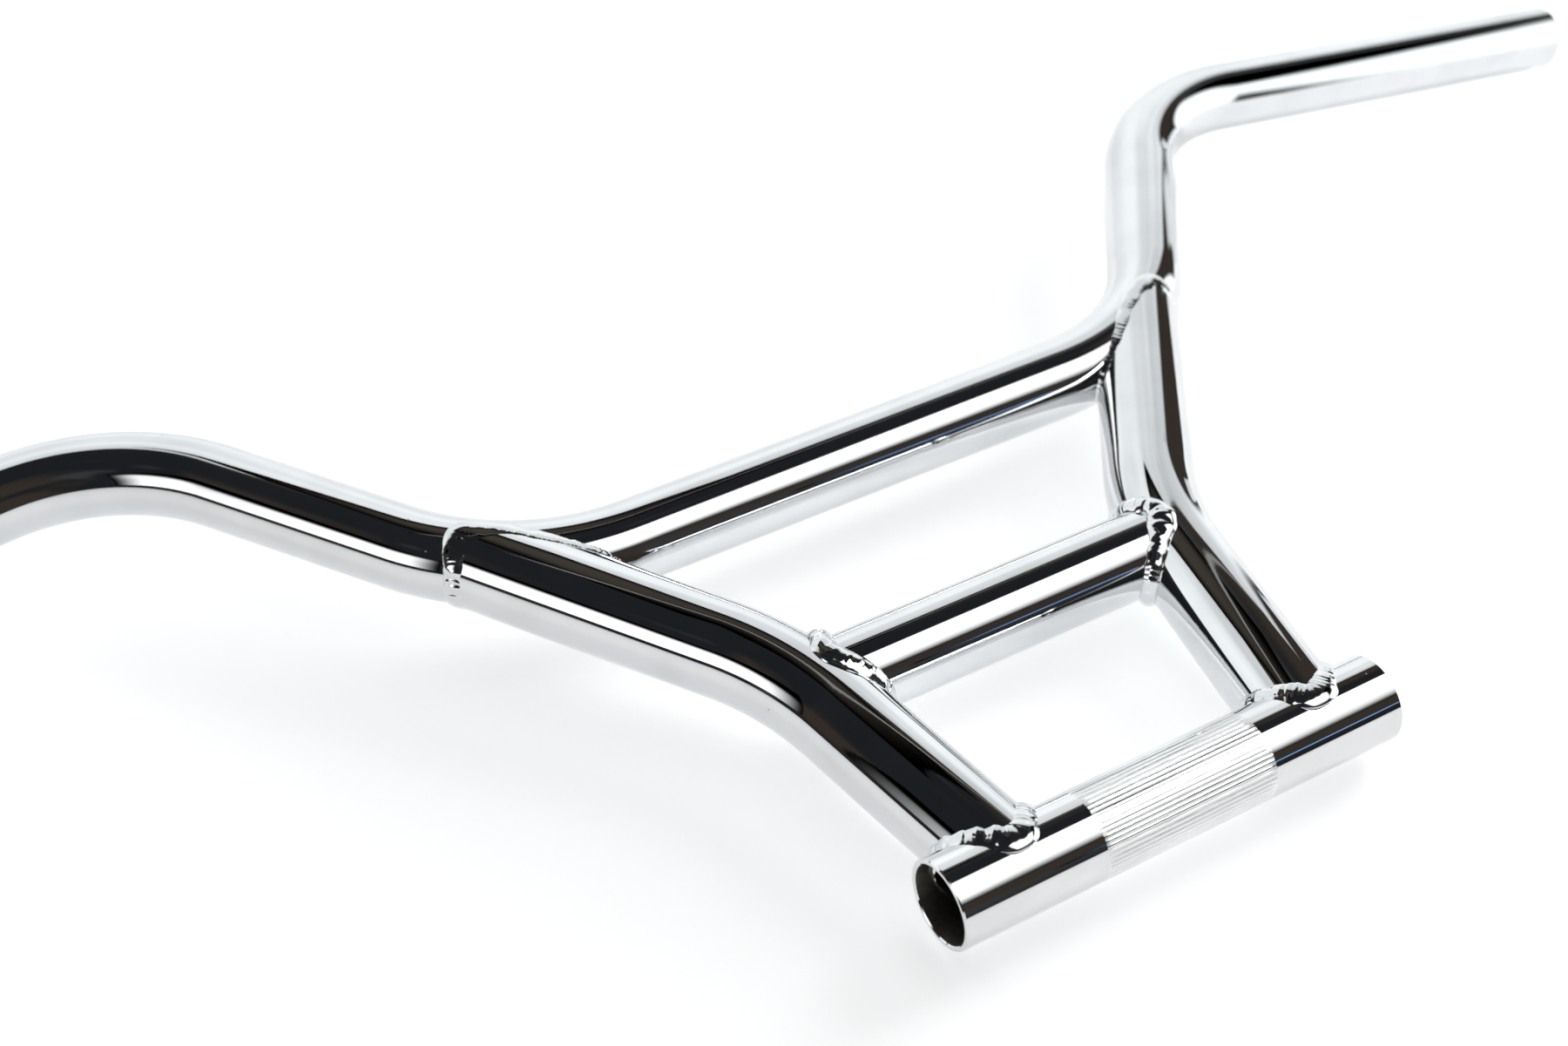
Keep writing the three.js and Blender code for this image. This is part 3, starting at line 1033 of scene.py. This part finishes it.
def light_panel(name, centre, facing, size, strength, colour, fades, dim=0.0, slant=0.0, lamp=0.0):
    """A glowing panel that shows only in reflections. fades are the soft shares of its left,
    right, bottom and top edges. dim is how much weaker its top is than its foot, slant is the
    slope of its top edge, and lamp is the strength of a lamp behind its lower half."""
    material = bpy.data.materials.new(name)
    material.use_nodes = True
    tree = material.node_tree
    tree.nodes.clear()
    coordinates = object_space(tree)
    shade = panel_shade(tree, coordinates, size, fades, dim, slant)
    total = combine(tree, "MULTIPLY", shade, strength)
    if lamp:
        total = combine(tree, "ADD", total, lamp_glow(tree, coordinates, size, lamp))
    one_sided_glow(tree, colour, total)
    panel = flat_sheet(name, size[0] / 2, size[1] / 2, material)
    panel.location = centre
    panel.rotation_euler = facing
    panel.visible_camera = False
    panel.visible_diffuse = False
    panel.visible_shadow = False


def soft_light(name, centre, target, size, watts):
    """A square area light that lights the table and doesn't show in the chrome."""
    data = bpy.data.lights.new(name, "AREA")
    data.shape = "SQUARE"
    data.size = size
    data.energy = watts
    light = scene_object(name, data)
    light.location = centre
    light.rotation_euler = (Vector(target) - Vector(centre)).to_track_quat("-Z", "Y").to_euler()
    light.visible_camera = False
    light.visible_glossy = False


def build_room():
    """The world: plain white in view, and a dark, uneven ceiling in reflections."""
    world = bpy.data.worlds.new("studio")
    world.use_nodes = True
    tree = world.node_tree
    tree.nodes.clear()
    out = tree.nodes.new("ShaderNodeOutputWorld")
    plain = tree.nodes.new("ShaderNodeBackground")
    plain.inputs["Color"].default_value = (1, 1, 1, 1)
    room = tree.nodes.new("ShaderNodeBackground")
    direction = tree.nodes.new("ShaderNodeTexCoord").outputs["Generated"]
    beams = ranged(tree, noise(tree, direction, 1.5, 1.5, (0.3, 2.2, 1.0)), 0.44, 0.6, 0, 1)
    ceiling = blended(tree, beams, ROOM_BLACK, ROOM_WARM)
    patches = ranged(tree, noise(tree, direction, 2.6, 1.0, (1.0, 1.0, 0.4)), 0.56, 0.72, 0, 1)
    ceiling = blended(tree, patches, ceiling, ROOM_GREY)
    tree.links.new(ceiling, room.inputs["Color"])
    mix = tree.nodes.new("ShaderNodeMixShader")
    tree.links.new(tree.nodes.new("ShaderNodeLightPath").outputs["Is Camera Ray"], mix.inputs["Fac"])
    tree.links.new(room.outputs["Background"], mix.inputs[1])
    tree.links.new(plain.outputs["Background"], mix.inputs[2])
    tree.links.new(mix.outputs["Shader"], out.inputs["Surface"])
    bpy.context.scene.world = world


def build_studio():
    for panel in PANELS:
        light_panel(**panel)
    for light in TABLE_LIGHTS:
        soft_light(**light)
    build_room()


def build_table():
    table = flat_sheet("table", TABLE_REACH, TABLE_REACH, table_white())
    table.location = (0, 0, -TABLE_DROP)


# The camera, in the bar plane: front left, looking down over the clamp tube, tilted a little
EYE = np.array([-298.0, -274.7, 460.1])
VIEW_RIGHT = np.array([0.8545, -0.5185, 0.0332])
VIEW_FORWARD = np.array([0.3975, 0.6113, -0.6843])
FOCUS = np.array([-45.0, 60.0, 10.0])
LENS = 52.375
SENSOR_WIDTH = 36
LENS_SHIFT = (-0.00837, 0.00239)
APERTURE = 11


def build_camera():
    data = bpy.data.cameras.new("camera")
    camera = scene_object("camera", data)
    data.lens = LENS
    data.sensor_width = SENSOR_WIDTH
    data.shift_x = LENS_SHIFT[0]
    data.shift_y = LENS_SHIFT[1]
    data.clip_start = 0.01
    data.clip_end = 50
    forward = lean_matrix() @ unit(VIEW_FORWARD)
    right = lean_matrix() @ VIEW_RIGHT
    right = unit(right - forward * (right @ forward))
    up = np.cross(right, forward)
    columns = np.stack([right, up, -forward], axis=1)
    matrix = Matrix(columns.tolist()).to_4x4()
    matrix.translation = Vector(place(EYE).tolist())
    camera.matrix_world = matrix
    focus = scene_object("focus", None)
    focus.location = Vector(place(FOCUS).tolist())
    data.dof.use_dof = True
    data.dof.focus_object = focus
    data.dof.aperture_fstop = APERTURE
    bpy.context.scene.camera = camera


# ---------------------------------------------------------------- the bar


SIDES = ((-1, "left"), (1, "right"))

# Each pair of welds: how it is made, its piece and node names, and the left one's random seed
WELDS = (
    (main_weld, "bead_main_", "weld_main_", 3),
    (brace_weld, "bead_brace_", "weld_brace_", 5),
    (foot_weld, "bead_foot_", "weld_clamp_", 7),
)


def fit(piece, node):
    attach(piece, "root")
    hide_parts(node)


def build_bar():
    tube = chrome("tube_chrome", TUBE_PLATE, 0.000022, 0.022)
    knurled = chrome("knurled_chrome", KNURL_PLATE, 0.000012, 0.03)
    groove = chrome("knurl_groove", GROOVE_PLATE, 0.000006, 0.3)
    bead = chrome("weld_chrome", TUBE_PLATE, 0.00003, 0.045)
    bore = dark_bore("tube_bore")

    fit(build_main_bar([tube, bore]), "main_bar")
    for side, word in SIDES:
        fit(build_riser(side, "riser_tube_" + word, [tube, bore]), "riser_" + word)
    fit(build_brace([tube, bore]), "cross_brace")
    fit(build_clamp([knurled, bore, groove]), "clamp_tube")
    for weld, piece, node, seed in WELDS:
        for step, (side, word) in enumerate(SIDES):
            fit(weld(side, piece + word, seed + step, bead), node + word)


build_bar()
build_studio()
build_table()
build_camera()
bpy.context.scene.view_settings.view_transform = "Standard"
